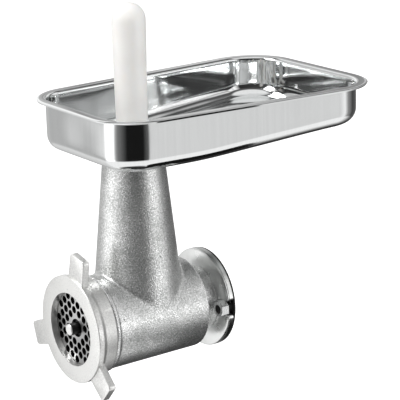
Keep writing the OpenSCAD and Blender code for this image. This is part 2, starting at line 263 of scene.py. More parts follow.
throat_outline = [
    (0, -OVERCUT),
    (THROAT_LOW_R, -OVERCUT),
    (THROAT_LOW_R, THROAT_LOW_Z),
    (THROAT_TOP_R, NECK_TOP_Z - COLLAR_SOCKET_DEPTH),
    (COLLAR_SOCKET_R, NECK_TOP_Z - COLLAR_SOCKET_DEPTH),
    (COLLAR_SOCKET_R, NECK_TOP_Z + OVERCUT),
    (0, NECK_TOP_Z + OVERCUT),
]
throat = lathe("throat", throat_outline, "Z", (0, NECK_Y), 96)
bore_outline = [
    (0, BARREL_FRONT_Y - OVERCUT),
    (SOCKET_R, BARREL_FRONT_Y - OVERCUT),
    (SOCKET_R, SOCKET_BACK_Y),
    (BORE_R, SOCKET_BACK_Y),
    (BORE_R, CHAMBER_BACK_Y),
    (BUSH_R, CHAMBER_BACK_Y),
    (BUSH_R, housing_high.y + OVERCUT),
    (0, housing_high.y + OVERCUT),
]
bore = lathe("bore", bore_outline, "Y", (0, 0), 96)
cut_or_join(throat, bore, "UNION")
cut_or_join(housing, throat, "DIFFERENCE")
groove_front_y, groove_back_y = BEAD_BACK_Y - 0.0001, BEAD_BACK_Y + 0.0007
groove_low_r, groove_high_r = BARREL_R - 0.0006, BEAD_R + 0.001
groove_outline = [
    (groove_low_r, groove_front_y),
    (groove_high_r, groove_front_y),
    (groove_high_r, groove_back_y),
    (groove_low_r, groove_back_y),
]
bead_groove = lathe("bead_groove", groove_outline, segments=160)
cut_or_join(housing, bead_groove, "DIFFERENCE")
shade(housing, 38)
thread_from_y, thread_to_y = BARREL_FRONT_Y - 0.001, BEAD_FRONT_Y + 0.002
housing_thread = helix(
    "cast_body_thread", THREAD_ROOT_R, THREAD_CREST_R, THREAD_PITCH, thread_from_y, thread_to_y
)


def new_material(name):
    """A node material with its Principled shader."""
    material = bpy.data.materials.new(name)
    material.use_nodes = True
    nodes, links = material.node_tree.nodes, material.node_tree.links
    return material, nodes, links, nodes["Principled BSDF"]


def new_group(name, inputs, outputs):
    """A shader node group with plain number inputs and number outputs."""
    group = bpy.data.node_groups.new(name, "ShaderNodeTree")
    for label, value in inputs:
        socket = group.interface.new_socket(name=label, in_out="INPUT", socket_type="NodeSocketFloat")
        socket.default_value = value
    for label in outputs:
        group.interface.new_socket(name=label, in_out="OUTPUT", socket_type="NodeSocketFloat")
    start = group.nodes.new("NodeGroupInput")
    end = group.nodes.new("NodeGroupOutput")
    return group, group.nodes, group.links, start, end


def place_group(nodes, group, **values):
    """Places a node group in a material; an underscore in a value's name stands for a space."""
    node = nodes.new("ShaderNodeGroup")
    node.node_tree = group
    for label, value in values.items():
        node.inputs[label.replace("_", " ")].default_value = value
    return node


def maths(nodes, links, operation, first, second=None):
    """One Math node; its inputs are sockets or numbers."""
    node = nodes.new("ShaderNodeMath")
    node.operation = operation
    for slot, value in enumerate((first, second)):
        if value is None:
            continue
        if isinstance(value, (int, float)):
            node.inputs[slot].default_value = value
        else:
            links.new(value, node.inputs[slot])
    return node.outputs[0]


def fit(nodes, links, value, from_low, from_high, to_low, to_high):
    """One Map Range node that clamps."""
    node = nodes.new("ShaderNodeMapRange")
    links.new(value, node.inputs["Value"])
    node.inputs["From Min"].default_value = from_low
    node.inputs["From Max"].default_value = from_high
    node.inputs["To Min"].default_value = to_low
    node.inputs["To Max"].default_value = to_high
    return node.outputs[0]


def blend_colours(nodes, links, mask, low, high):
    """Mixes two colours by a mask."""
    node = nodes.new("ShaderNodeMix")
    node.data_type = "RGBA"
    links.new(mask, node.inputs["Factor"])
    node.inputs["A"].default_value = (*low, 1)
    node.inputs["B"].default_value = (*high, 1)
    return node.outputs["Result"]


def bump(nodes, links, shader, height, distance):
    """Feeds a height into the shader's normal; distance is in metres."""
    node = nodes.new("ShaderNodeBump")
    node.inputs["Distance"].default_value = distance
    node.inputs["Strength"].default_value = 1
    links.new(height, node.inputs["Height"])
    links.new(node.outputs["Normal"], shader.inputs["Normal"])


# Cast grain: rounded bumps from the sand, fine grit on them, a slow drift in tone, a few blow holes
grain_group, nodes, links, start, end = new_group(
    "cast_grain", [("Grain Size", 0.0018), ("Pit Amount", 0.5)], ["Height", "Sparkle", "Drift", "Hole"]
)
place = nodes.new("ShaderNodeTexCoord").outputs["Object"]
per_metre = maths(nodes, links, "DIVIDE", 1, start.outputs["Grain Size"])
coarse = nodes.new("ShaderNodeTexNoise")
coarse.inputs["Detail"].default_value = 2.5
coarse.inputs["Roughness"].default_value = 0.6
links.new(place, coarse.inputs["Vector"])
links.new(per_metre, coarse.inputs["Scale"])
grit = nodes.new("ShaderNodeTexVoronoi")
links.new(place, grit.inputs["Vector"])
links.new(per_metre, grit.inputs["Scale"])
slow = nodes.new("ShaderNodeTexNoise")
slow.inputs["Scale"].default_value = 48
slow.inputs["Detail"].default_value = 4
links.new(place, slow.inputs["Vector"])
holes = nodes.new("ShaderNodeTexVoronoi")
holes.inputs["Scale"].default_value = 70
links.new(place, holes.inputs["Vector"])
hole = fit(nodes, links, holes.outputs["Distance"], 0.05, 0.075, 1, 0)
pits = fit(nodes, links, grit.outputs["Distance"], 0.0, 0.5, 0, 1)
pits = maths(nodes, links, "MULTIPLY", pits, start.outputs["Pit Amount"])
height = maths(nodes, links, "ADD", coarse.outputs["Fac"], pits)
height = maths(nodes, links, "SUBTRACT", height, hole)
links.new(height, end.inputs["Height"])
links.new(fit(nodes, links, coarse.outputs["Fac"], 0.4, 0.62, 0, 1), end.inputs["Sparkle"])
links.new(fit(nodes, links, slow.outputs["Fac"], 0.32, 0.68, 0, 1), end.inputs["Drift"])
links.new(hole, end.inputs["Hole"])

def finish_shader(links, shader, colour, rough, metallic):
    """Plugs a colour and a roughness into a shader and sets how metallic it is."""
    links.new(colour, shader.inputs["Base Color"])
    links.new(rough, shader.inputs["Roughness"])
    shader.inputs["Metallic"].default_value = metallic


# Edge rub: 1 where a corner is handled and polished, 0 on flats
rub_group, nodes, links, start, end = new_group("edge_rub", [("Low", 0.52), ("High", 0.6)], ["Rub"])
form = nodes.new("ShaderNodeNewGeometry")
edge = nodes.new("ShaderNodeMapRange")
links.new(form.outputs["Pointiness"], edge.inputs["Value"])
links.new(start.outputs["Low"], edge.inputs["From Min"])
links.new(start.outputs["High"], edge.inputs["From Max"])
links.new(edge.outputs[0], end.inputs["Rub"])


def cast_alloy(name, low, high, rough_low, rough_high, grain_size, depth, metallic):
    """Tin-bright cast alloy with a tumbled skin: bumps rubbed bright, hollows left dull."""
    material, nodes, links, shader = new_material(name)
    grain = place_group(nodes, grain_group, Grain_Size=grain_size, Pit_Amount=0.45)
    rub = place_group(nodes, rub_group, Low=0.51, High=0.56)
    tone = maths(nodes, links, "MULTIPLY", grain.outputs["Sparkle"], 0.6)
    tone = maths(nodes, links, "ADD", tone, maths(nodes, links, "MULTIPLY", grain.outputs["Drift"], 0.3))
    tone = maths(nodes, links, "ADD", tone, maths(nodes, links, "MULTIPLY", rub.outputs["Rub"], 0.6))
    tone = maths(nodes, links, "SUBTRACT", tone, grain.outputs["Hole"])
    colour = blend_colours(nodes, links, tone, low, high)
    finish_shader(links, shader, colour, fit(nodes, links, tone, 0, 1, rough_high, rough_low), metallic)
    bump(nodes, links, shader, grain.outputs["Height"], depth)
    return material


body_alloy = cast_alloy(
    "cast_alloy", (0.38, 0.39, 0.38), (1.0, 1.0, 1.0), rough_low=0.22, rough_high=0.36,
    grain_size=0.0012, depth=0.0002, metallic=0.8
)
housing.data.materials.append(body_alloy)
housing_thread.data.materials.append(body_alloy)
for piece in (housing, housing_thread):
    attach(piece, "body")
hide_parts("housing")


# --- Hub flange -----------------------------------------------------------------------------------
# A turned disc pressed on the casting's spigot, bevelled at the front with a fine groove round its rim.
# Two open slots with rounded mouths take the clamp studs; a grub screw at the underside holds it.
FLANGE_R = 0.0441
FLANGE_BORE_R = 0.02702
SLOT_HALF = 0.006
STUD_PITCH_R = 0.0383
MOUTH_R = 0.003


def slotted_disc(inset, per_quarter=48):
    """The flange's outline in X and Z, drawn in by an inset, with a round-ended open slot at each side."""
    radius = FLANGE_R - inset
    half = SLOT_HALF + inset
    mouth = MOUTH_R
    edge_x = math.sqrt((radius - mouth) ** 2 - (half + mouth) ** 2)
    turn_on = math.atan2(half + mouth, edge_x)
    points = []
    for k in range(per_quarter * 2 + 1):
        turn = turn_on + (math.pi - 2 * turn_on) * k / (per_quarter * 2)
        points.append((radius * math.cos(turn), radius * math.sin(turn)))
    for k in range(1, 9):
        turn = math.pi - turn_on + (math.pi / 2 + turn_on) * k / 8
        points.append((-edge_x + mouth * math.cos(turn), half + mouth + mouth * math.sin(turn)))
    for k in range(1, 16):
        turn = math.pi / 2 - math.pi * k / 16
        points.append((-STUD_PITCH_R + half * math.cos(turn), half * math.sin(turn)))
    for k in range(0, 8):
        turn = math.pi / 2 + (math.pi / 2 + turn_on) * k / 8
        points.append((-edge_x + mouth * math.cos(turn), -half - mouth + mouth * math.sin(turn)))
    return points + [(-x, -z) for x, z in points]


def skin_outlines(name, stations, hole_r, smooth_angle=30):
    """Skins outlines laid one behind the other along Y, and closes both ends round a centre hole."""
    verts, faces = [], []
    count = len(stations[0][1])
    angles = [math.atan2(z, x) for x, z in stations[0][1]]
    hole = [(hole_r * math.cos(a), hole_r * math.sin(a)) for a in angles]
    loops = [(stations[0][0], hole)] + stations + [(stations[-1][0], hole)]
    for y, outline in loops:
        verts += [(x, y, z) for x, z in outline]
    for k in range(len(loops)):
        base, after = k * count, (k + 1) % len(loops) * count
        for m in range(count):
            n = (m + 1) % count
            faces.append((base + m, base + n, after + n, after + m))
    return mesh_piece(name, verts, faces, smooth_angle)


groove_y = flange_low.y + 0.002
rim_stations = [
    (flange_low.y, 0.001),
    (flange_low.y + 0.0002, 0.0006),
    (flange_low.y + 0.0008, 0.0001),
    (flange_low.y + 0.0011, 0),
    (groove_y - 0.0001, 0),
    (groove_y, 0.0006),
    (groove_y + 0.0005, 0.0006),
    (groove_y + 0.0006, 0),
    (flange_high.y - 0.0004, 0),
    (flange_high.y, 0.0004),
]
rim_outlines = [(y, slotted_disc(inset)) for y, inset in rim_stations]
flange = skin_outlines("turned_flange", rim_outlines, FLANGE_BORE_R)

# Tool marks: fine rings left by turning about the drive axis, and long soft stains across them
turned_group, nodes, links, start, end = new_group("turned_marks", [("Rings", 2600.0)], ["Height", "Stain"])
place = nodes.new("ShaderNodeTexCoord").outputs["Object"]
split = nodes.new("ShaderNodeSeparateXYZ")
links.new(place, split.inputs[0])
square_x = maths(nodes, links, "MULTIPLY", split.outputs["X"], split.outputs["X"])
square_z = maths(nodes, links, "MULTIPLY", split.outputs["Z"], split.outputs["Z"])
off_axis = maths(nodes, links, "SQRT", maths(nodes, links, "ADD", square_x, square_z))
rings = nodes.new("ShaderNodeTexNoise")
rings.noise_dimensions = "1D"
rings.inputs["Detail"].default_value = 3
links.new(off_axis, rings.inputs["W"])
links.new(start.outputs["Rings"], rings.inputs["Scale"])
stain = nodes.new("ShaderNodeTexNoise")
stain.inputs["Scale"].default_value = 70
stain.inputs["Detail"].default_value = 5
links.new(place, stain.inputs["Vector"])
links.new(rings.outputs["Fac"], end.inputs["Height"])
links.new(stain.outputs["Fac"], end.inputs["Stain"])


def turned_metal(name, rings, shares, low, high, rough_range, depth, metallic=1, rub_from=(0.52, 0.6)):
    """Metal turned about the drive axis; shares are those of the rings, the stains and the rubbed edges."""
    material, nodes, links, shader = new_material(name)
    marks = place_group(nodes, turned_group, Rings=rings)
    rub = place_group(nodes, rub_group, Low=rub_from[0], High=rub_from[1])
    tone = maths(nodes, links, "MULTIPLY", marks.outputs["Height"], shares[0])
    for source, share in ((marks.outputs["Stain"], shares[1]), (rub.outputs["Rub"], shares[2])):
        tone = maths(nodes, links, "ADD", tone, maths(nodes, links, "MULTIPLY", source, share))
    colour = blend_colours(nodes, links, tone, low, high)
    rough = fit(nodes, links, marks.outputs["Stain"], 0.3, 0.7, *rough_range)
    finish_shader(links, shader, colour, rough, metallic)
    bump(nodes, links, shader, marks.outputs["Height"], depth)
    return material


flange.data.materials.append(
    turned_metal(
        "turned_alloy", 2600.0, (0.5, 0.5, 0.3), (0.58, 0.59, 0.58), (0.97, 0.98, 0.97), (0.24, 0.38), 0.00003
    )
)
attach(flange, "body")
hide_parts("rear_flange")


def finish_node(name, material):
    """Gives a CAD node its own finish."""
    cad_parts[name].data.materials.clear()
    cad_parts[name].data.materials.append(material)


# Blackened steel: the adapter plate behind the flange, the grub screw and the studs
black_steel = turned_metal(
    "blackened_steel", 900.0, (0, 0.6, 1), (0.004, 0.004, 0.005), (0.03, 0.03, 0.03), (0.4, 0.6), 0.00002,
    metallic=0.6, rub_from=(0.53, 0.62)
)
finish_node("adapter_plate", black_steel)
finish_node("flange_grub_screw", black_steel)


# --- Clamp studs and nuts -------------------------------------------------------------------------
# Blackened studs with rolled M8 threads, set in the adapter plate, and a hex nut on each.
# The nuts are zinc plated: bright, a little cloudy, and rubbed at the corners.
def zinc_plate():
    material, nodes, links, shader = new_material("zinc_plate")
    grain = place_group(nodes, grain_group, Grain_Size=0.0009, Pit_Amount=0.2)
    rub = place_group(nodes, rub_group, Low=0.52, High=0.58)
    tone = maths(nodes, links, "MULTIPLY", grain.outputs["Drift"], 0.6)
    tone = maths(nodes, links, "ADD", tone, rub.outputs["Rub"])
    colour = blend_colours(nodes, links, tone, (0.2, 0.21, 0.21), (0.85, 0.86, 0.86))
    rough = fit(nodes, links, grain.outputs["Sparkle"], 0, 1, 0.14, 0.28)
    finish_shader(links, shader, colour, rough, 1)
    bump(nodes, links, shader, grain.outputs["Height"], 0.00002)
    return material


zinc = zinc_plate()
for name in ("clamp_studs", "clamp_nuts", "plate_key"):
    finish_node(name, zinc)

STUD_R = 0.004
STUD_ROOT_R = STUD_R - 0.0006
STUD_TIP_R = STUD_R - 0.0012
STUD_BEVEL = 0.0006
STUD_THREAD_PITCH = 0.00125
stud_low, stud_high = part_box("clamp_studs")
for side, label in ((1, "right"), (-1, "left")):
    stud_outline = [(0, stud_low.y), (STUD_TIP_R, stud_low.y), (STUD_ROOT_R, stud_low.y + STUD_BEVEL)]
    stud_outline += [(STUD_ROOT_R, stud_high.y), (0, stud_high.y)]
    stud = lathe("clamp_stud_" + label, stud_outline, "Y", (0, 0), 40)
    thread_end_y = stud_high.y - 0.0005
    thread = helix("thread", STUD_ROOT_R, STUD_R, STUD_THREAD_PITCH, stud_low.y, thread_end_y, 32)
    work = bmesh.new()
    work.from_mesh(stud.data)
    work.from_mesh(thread.data)
    bmesh.ops.translate(work, verts=work.verts, vec=(side * STUD_PITCH_R, 0, 0))
    work.to_mesh(stud.data)
    work.free()
    bpy.data.objects.remove(thread)
    shade(stud, 40)
    stud.data.materials.append(black_steel)
    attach(stud, "body")
    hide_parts("clamp_studs")


# --- Feed screw and what turns with it ------------------------------------------------------------
# A cast screw with one flight on a tapered core. Its ground shank runs in a bronze bush with a
# rubber seal, and a white plastic washer takes the thrust. The spindle's square drives the knife.
steel = turned_metal(
    "ground_steel", 4200.0, (0, 0.7, 1), (0.52, 0.52, 0.53), (0.9, 0.9, 0.91), (0.18, 0.32), 0.00002
)
for name in ("drive_shank", "shank_pin", "knife"):
    finish_node(name, steel)
finish_node("feed_screw", body_alloy)


def painted_dark_spindle():
    """The knife's spindle: painted near black all along for its shade and dark reflection, light only on its
    end face.
    """
    material, nodes, links, shader = new_material("painted_dark_spindle")
    marks = place_group(nodes, turned_group, Rings=1800.0)
    along = nodes.new("ShaderNodeSeparateXYZ")
    links.new(nodes.new("ShaderNodeTexCoord").outputs["Object"], along.inputs[0])
    tip_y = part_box("knife_spindle")[0].y
    # Painted shade: everything but the tip is coloured near black, standing in for the shade and dark
    # reflection round the spindle.
    unshaded_tip = fit(nodes, links, along.outputs["Y"], tip_y + 0.0004, tip_y + 0.001, 1, 0)
    tone = maths(nodes, links, "ADD", maths(nodes, links, "MULTIPLY", marks.outputs["Stain"], 0.12), unshaded_tip)
    colour = blend_colours(nodes, links, tone, (0.01, 0.01, 0.01), (0.93, 0.93, 0.92))
    finish_shader(links, shader, colour, fit(nodes, links, marks.outputs["Stain"], 0.3, 0.7, 0.35, 0.55), 1)
    bump(nodes, links, shader, marks.outputs["Height"], 0.00002)
    return material


finish_node("knife_spindle", painted_dark_spindle())


def plain_bearing(name, low, high, rough_range, metallic):
    """The bush, washer and seal: a plain moulded or turned ring, toned by its stains alone."""
    return turned_metal(name, 1500.0, (0, 1, 0), low, high, rough_range, 0.00002, metallic)


bronze = plain_bearing("bronze", (0.45, 0.28, 0.12), (0.75, 0.52, 0.26), (0.25, 0.45), 1)
rubber = plain_bearing("seal_rubber", (0.01, 0.01, 0.01), (0.03, 0.03, 0.03), (0.5, 0.8), 0)
nylon = plain_bearing("white_nylon", (0.7, 0.7, 0.66), (0.85, 0.85, 0.82), (0.35, 0.6), 0)
finish_node("rear_bush", bronze)
finish_node("shaft_seal", rubber)
finish_node("thrust_washer", nylon)


# --- Perforated plate -----------------------------------------------------------------------------
# A hardened steel plate, drilled on a hexagonal grid and ground flat, with long grinding scratches.
scratch_inputs = [("Fineness", 900.0), ("Stretch Across", 0.03), ("Stretch Up", 1.0)]
scratch_group, nodes, links, start, end = new_group("fine_scratches", scratch_inputs, ["Height", "Haze"])
place = nodes.new("ShaderNodeTexCoord").outputs["Object"]
squeeze = nodes.new("ShaderNodeCombineXYZ")
links.new(start.outputs["Stretch Across"], squeeze.inputs["X"])
links.new(start.outputs["Stretch Across"], squeeze.inputs["Y"])
links.new(start.outputs["Stretch Up"], squeeze.inputs["Z"])
stretched = nodes.new("ShaderNodeVectorMath")
stretched.operation = "MULTIPLY"
links.new(place, stretched.inputs[0])
links.new(squeeze.outputs[0], stretched.inputs[1])
lines = nodes.new("ShaderNodeTexNoise")
lines.inputs["Detail"].default_value = 4
links.new(stretched.outputs[0], lines.inputs["Vector"])
links.new(start.outputs["Fineness"], lines.inputs["Scale"])
haze = nodes.new("ShaderNodeTexNoise")
haze.inputs["Scale"].default_value = 24
haze.inputs["Detail"].default_value = 5
links.new(place, haze.inputs["Vector"])
links.new(lines.outputs["Fac"], end.inputs["Height"])
links.new(haze.outputs["Fac"], end.inputs["Haze"])


def painted_wall_shade(nodes, links):
    """1 on the faces that turn across the axis, inside the holes and round the rim, which get painted shade,
    and 0 on the ground faces.
    """
    facing = nodes.new("ShaderNodeSeparateXYZ")
    links.new(nodes.new("ShaderNodeTexCoord").outputs["Normal"], facing.inputs[0])
    return fit(nodes, links, maths(nodes, links, "ABSOLUTE", facing.outputs["Y"]), 0.6, 0.9, 1, 0)


def plate_steel():
    material, nodes, links, shader = new_material("plate_steel")
    marks = place_group(nodes, scratch_group, Fineness=2200.0, Stretch_Across=0.05)
    wall_shade = painted_wall_shade(nodes, links)
    # Painted shade: the hole walls and the rim are darkened in colour, and made rougher too.
    tone = maths(nodes, links, "SUBTRACT", marks.outputs["Haze"], wall_shade)
    colour = blend_colours(nodes, links, tone, (0.03, 0.03, 0.03), (0.95, 0.95, 0.95))
    rough = maths(nodes, links, "ADD", fit(nodes, links, marks.outputs["Haze"], 0.3, 0.7, 0.26, 0.42), wall_shade)
    finish_shader(links, shader, colour, rough, 1)
    bump(nodes, links, shader, marks.outputs["Height"], 0.00003)
    return material


finish_node("hole_plate", plate_steel())


# --- Ring nut -------------------------------------------------------------------------------------
# A cast ring with three lugs to turn it by, finer blasted than the body; its coarse inner thread is drawn as
# a plain bore.
RING_R = 0.047
RING_OPENING_R = 0.032
RING_RIM = 0.005
RING_SHOULDER = 0.0035
RING_LIP = 0.0063
RING_EDGE_R = 0.0009
SKIRT_FRONT_R = 0.0446
SKIRT_BACK_R = 0.0432
RING_THREAD_R = 0.0398
LUG_TIP_R = 0.068
LUG_ROOT_W = 0.023
LUG_TIP_W = 0.0215
LUG_CORNER = 0.002
LUG_T = 0.0065
LUG_ROOT_DEPTH = 0.008
LUG_SET_BACK = 0.0015
LUG_TURN = math.radians(78.7)

ring_outline = [
    (RING_OPENING_R, ring_low.y),
    (RING_R, ring_low.y),
    (RING_R, ring_low.y + RING_RIM),
    (SKIRT_FRONT_R, ring_low.y + RING_RIM + RING_SHOULDER),
    (SKIRT_BACK_R, ring_high.y),
    (RING_THREAD_R, ring_high.y),
    (RING_THREAD_R, ring_low.y + RING_LIP),
    (RING_OPENING_R, ring_low.y + RING_LIP),
    (RING_OPENING_R, ring_low.y),
]
ring = lathe("ring_nut_casting", rounded(ring_outline, RING_EDGE_R, 4)[:-1], "Y", (0, 0), 192)


def lug(turn):
    """One turning lug, as a flat tapered bar with clipped corners and rounded edges."""
    half_root, half_tip = LUG_ROOT_W / 2, LUG_TIP_W / 2
    root_r = RING_R - LUG_ROOT_DEPTH
    outline = [
        (root_r, -half_root),
        (LUG_TIP_R - LUG_CORNER, -half_tip),
        (LUG_TIP_R, -half_tip + LUG_CORNER),
        (LUG_TIP_R, half_tip - LUG_CORNER),
        (LUG_TIP_R - LUG_CORNER, half_tip),
        (root_r, half_root),
    ]
    front = ring_low.y + LUG_SET_BACK
    verts = [
        (u * math.cos(turn) - v * math.sin(turn), y, u * math.sin(turn) + v * math.cos(turn))
        for y in (front, front + LUG_T)
        for u, v in outline
    ]
    count = len(outline)
    faces = [tuple(range(count)), tuple(range(2 * count - 1, count - 1, -1))]
    faces += [(k, (k + 1) % count, (k + 1) % count + count, k + count) for k in range(count)]
    piece = mesh_piece("lug", verts, faces)
    step = piece.modifiers.new("edge", "BEVEL")
    step.width = RING_EDGE_R
    step.segments = 3
    bake_modifiers(piece)
    return piece


for k in range(3):
    cut_or_join(ring, lug(LUG_TURN + math.radians(120 * k)), "UNION")
shade(ring, 34)
ring_alloy = cast_alloy(
    "ring_alloy", (0.66, 0.66, 0.65), (0.94, 0.94, 0.92), rough_low=0.3, rough_high=0.42,
    grain_size=0.0011, depth=0.0001, metallic=0.8
)
ring.data.materials.append(ring_alloy)
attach(ring, "ring")
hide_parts("ring_nut")


# --- Tray and collar ------------------------------------------------------------------------------
# Deep drawn from one polished stainless sheet: flat rim, upright walls, a wide bend and a floor that
# falls towards the neck. A short tube welded under its hole plugs into the neck.
tray_low, tray_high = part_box("tray")
TRAY_FRONT_HALF_W = 0.0778
TRAY_BACK_HALF_W = 0.0953
RIM_W = 0.010
RIM_CORNER_R = 0.045
FRONT_WALL_R = 0.028
REAR_WALL_R = 0.035
SHEET_T = 0.0009
TRAY_BEND_R = 0.013
ROLL_R = 0.002
# Where the mid sheet ends across the rim: its own thickness brings the edge out to full size
EDGE_SHARE = 0.87
FLOOR_RISE = 0.0095
FLAT_FLOOR_Y = NECK_Y + 0.028
COLLAR_R = 0.0231
POINTS_ROUND_TRAY = 480
CORNER_STEPS = 600
ROLL_STEPS = 6
WALL_STEPS = 6
BEND_STEPS = 10
FLOOR_STEPS = 24
FLOOR_CROWDING = 0.85


def tray_half_width(y):
    share = (y - tray_low.y) / (tray_high.y - tray_low.y)
    return TRAY_FRONT_HALF_W + (TRAY_BACK_HALF_W - TRAY_FRONT_HALF_W) * share


def tray_outline(inset, front_r, rear_r):
    """Points round the tray, an inset inside the rim's edge, with as many points on each corner."""
    slant = math.atan2(TRAY_BACK_HALF_W - TRAY_FRONT_HALF_W, tray_high.y - tray_low.y)
    front_y, back_y = tray_low.y + inset + front_r, tray_high.y - inset - rear_r
    front_x = tray_half_width(front_y) - (inset + front_r) / math.cos(slant)
    back_x = tray_half_width(back_y) - (inset + rear_r) / math.cos(slant)
    corners = [
        (front_x, front_y, front_r, -math.pi / 2, -slant),
        (back_x, back_y, rear_r, -slant, math.pi / 2),
        (-back_x, back_y, rear_r, math.pi / 2, math.pi + slant),
        (-front_x, front_y, front_r, math.pi + slant, 1.5 * math.pi),
    ]
    points = []
    for x, y, radius, turn_from, turn_to in corners:
        for k in range(CORNER_STEPS + 1):
            turn = turn_from + (turn_to - turn_from) * k / CORNER_STEPS
            points.append(Vector((x + radius * math.cos(turn), y + radius * math.sin(turn))))
    return points


def evenly_spaced(points, partner, count):
    """Even steps along a closed outline, with the matching points of a partner outline."""
    loop, other = points + [points[0]], partner + [partner[0]]
    lengths = [0]
    for a, b in zip(loop, loop[1:]):
        lengths.append(lengths[-1] + (b - a).length)
    first, second, k = [], [], 0
    for m in range(count):
        target = lengths[-1] * m / count
        while lengths[k + 1] < target:
            k += 1
        share = (target - lengths[k]) / max(lengths[k + 1] - lengths[k], 1e-9)
        first.append(loop[k].lerp(loop[k + 1], share))
        second.append(other[k].lerp(other[k + 1], share))
    return first, second


def hinge(u, softness=0.12):
    """0 below zero and u above it, with a soft turn between."""
    return (u + math.sqrt(u * u + softness * softness)) / 2


def floor_height(y):
    """Height of the tray's floor, outer face: flat round the neck and then rising to the hub end."""
    back_y = tray_high.y - RIM_W - REAR_WALL_R
    share = (y - FLAT_FLOOR_Y) / (back_y - FLAT_FLOOR_Y)
    return tray_low.z + FLOOR_RISE * (hinge(share) - hinge(share - 1))


whole_wall = tray_outline(RIM_W, FRONT_WALL_R, REAR_WALL_R)
whole_rim = tray_outline(0, RIM_CORNER_R, RIM_CORNER_R)
wall_line, rim_line = evenly_spaced(whole_wall, whole_rim, POINTS_ROUND_TRAY)
wall_out = []
for k, point in enumerate(wall_line):
    along = wall_line[(k + 1) % POINTS_ROUND_TRAY] - wall_line[k - 1]
    wall_out.append(Vector((along.y, -along.x)).normalized())


def rim_ring(share, drop):
    """A ring of the rim's mid sheet, a share of the way from the wall to the rim's edge."""
    return [(*wall.lerp(rim, share), tray_high.z - drop) for wall, rim in zip(wall_line, rim_line)]


def bend_ring(share):
    """A ring on the bend between the wall and the floor."""
    turn = share * math.pi / 2
    points = []
    for wall, out in zip(wall_line, wall_out):
        spot = wall - out * TRAY_BEND_R * (1 - math.cos(turn))
        points.append((spot.x, spot.y, floor_height(spot.y) + TRAY_BEND_R * (1 - math.sin(turn))))
    return points


roll_share = ROLL_R / RIM_W
tray_rings = [
    rim_ring(EDGE_SHARE - 0.03, 0.0007),
    rim_ring(EDGE_SHARE, 0.0002),
    rim_ring(EDGE_SHARE - 0.05, 0),
]
tray_rings += [rim_ring(share, 0) for share in (0.7, 0.5, roll_share + 0.05)]
for k in range(1, ROLL_STEPS + 1):
    turn = math.pi / 2 * k / ROLL_STEPS
    tray_rings.append(rim_ring(roll_share * (1 - math.sin(turn)), ROLL_R * (1 - math.cos(turn))))
wall_foot = [floor_height(p.y) + TRAY_BEND_R for p in wall_line]
for k in range(1, WALL_STEPS):
    share = k / WALL_STEPS
    top = tray_high.z - ROLL_R
    tray_rings.append([(p.x, p.y, top + (foot - top) * share) for p, foot in zip(wall_line, wall_foot)])
tray_rings += [bend_ring(k / BEND_STEPS) for k in range(BEND_STEPS + 1)]
bend_foot = tray_rings[-1]
collar_turns = [math.atan2(p[1] - NECK_Y, p[0]) for p in bend_foot]
for k in range(1, FLOOR_STEPS + 1):
    share = (k / FLOOR_STEPS) ** FLOOR_CROWDING
    ring_points = []
    for p, turn in zip(bend_foot, collar_turns):
        x = p[0] + (COLLAR_R * math.cos(turn) - p[0]) * share
        y = p[1] + (NECK_Y + COLLAR_R * math.sin(turn) - p[1]) * share
        ring_points.append((x, y, floor_height(y)))
    tray_rings.append(ring_points)
verts = [point for ring_points in tray_rings for point in ring_points]
faces = []
for k in range(len(tray_rings) - 1):
    for m in range(POINTS_ROUND_TRAY):
        n = (m + 1) % POINTS_ROUND_TRAY
        base = k * POINTS_ROUND_TRAY
        faces.append((base + m, base + n, base + POINTS_ROUND_TRAY + n, base + POINTS_ROUND_TRAY + m))
tray = mesh_piece("drawn_tray", verts, faces, 80)
step = tray.modifiers.new("sheet", "SOLIDIFY")
step.thickness = SHEET_T
step.offset = 1
step.use_even_offset = True
bake_modifiers(tray)
shade(tray, 50)


def tray_steel():
    """Polished stainless: faint upright draw marks on the walls, and a slow ripple in the sheet."""
    material, nodes, links, shader = new_material("polished_stainless")
    marks = place_group(nodes, scratch_group, Fineness=420.0, Stretch_Across=1.0, Stretch_Up=0.02)
    ripple = nodes.new("ShaderNodeTexNoise")
    ripple.inputs["Scale"].default_value = 12
    ripple.inputs["Detail"].default_value = 1
    links.new(nodes.new("ShaderNodeTexCoord").outputs["Object"], ripple.inputs["Vector"])
    colour = blend_colours(nodes, links, marks.outputs["Height"], (0.8, 0.81, 0.81), (0.88, 0.89, 0.89))
    finish_shader(links, shader, colour, fit(nodes, links, marks.outputs["Haze"], 0.3, 0.7, 0.05, 0.13), 1)
    height = maths(nodes, links, "MULTIPLY", ripple.outputs["Fac"], 1400)
    height = maths(nodes, links, "ADD", height, marks.outputs["Height"])
    bump(nodes, links, shader, height, 0.000002)
    return material


polished = tray_steel()
tray.data.materials.append(polished)
finish_node("tray_collar", polished)
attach(tray, "tray")
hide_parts("tray")


# --- Pusher ---------------------------------------------------------------------------------------
# Turned from white food-grade plastic: a slim handle with a round top, and a wide foot that fills
# the throat.
FOOT_R = 0.0206
FOOT_H = 0.038
FOOT_CONE_H = 0.016
HANDLE_LOW_R = 0.0127
HANDLE_TOP_R = 0.0145
DOME_STEPS = 24
dome_z = pusher_high.z - HANDLE_TOP_R
pusher_outline = [(0, pusher_low.z), (FOOT_R, pusher_low.z), (FOOT_R, pusher_low.z + FOOT_H)]
pusher_outline += [(HANDLE_LOW_R, pusher_low.z + FOOT_H + FOOT_CONE_H), (HANDLE_TOP_R, dome_z)]
pusher_outline = rounded(pusher_outline, 0.003, 8)
dome_turns = [math.pi / 2 * k / DOME_STEPS for k in range(1, DOME_STEPS)]
pusher_outline += [
    (HANDLE_TOP_R * math.cos(turn), dome_z + HANDLE_TOP_R * math.sin(turn)) for turn in dome_turns
]
pusher_outline.append((0, pusher_high.z))
pusher = lathe("pusher_rod", pusher_outline, "Z", (0, NECK_Y), 96, 60)


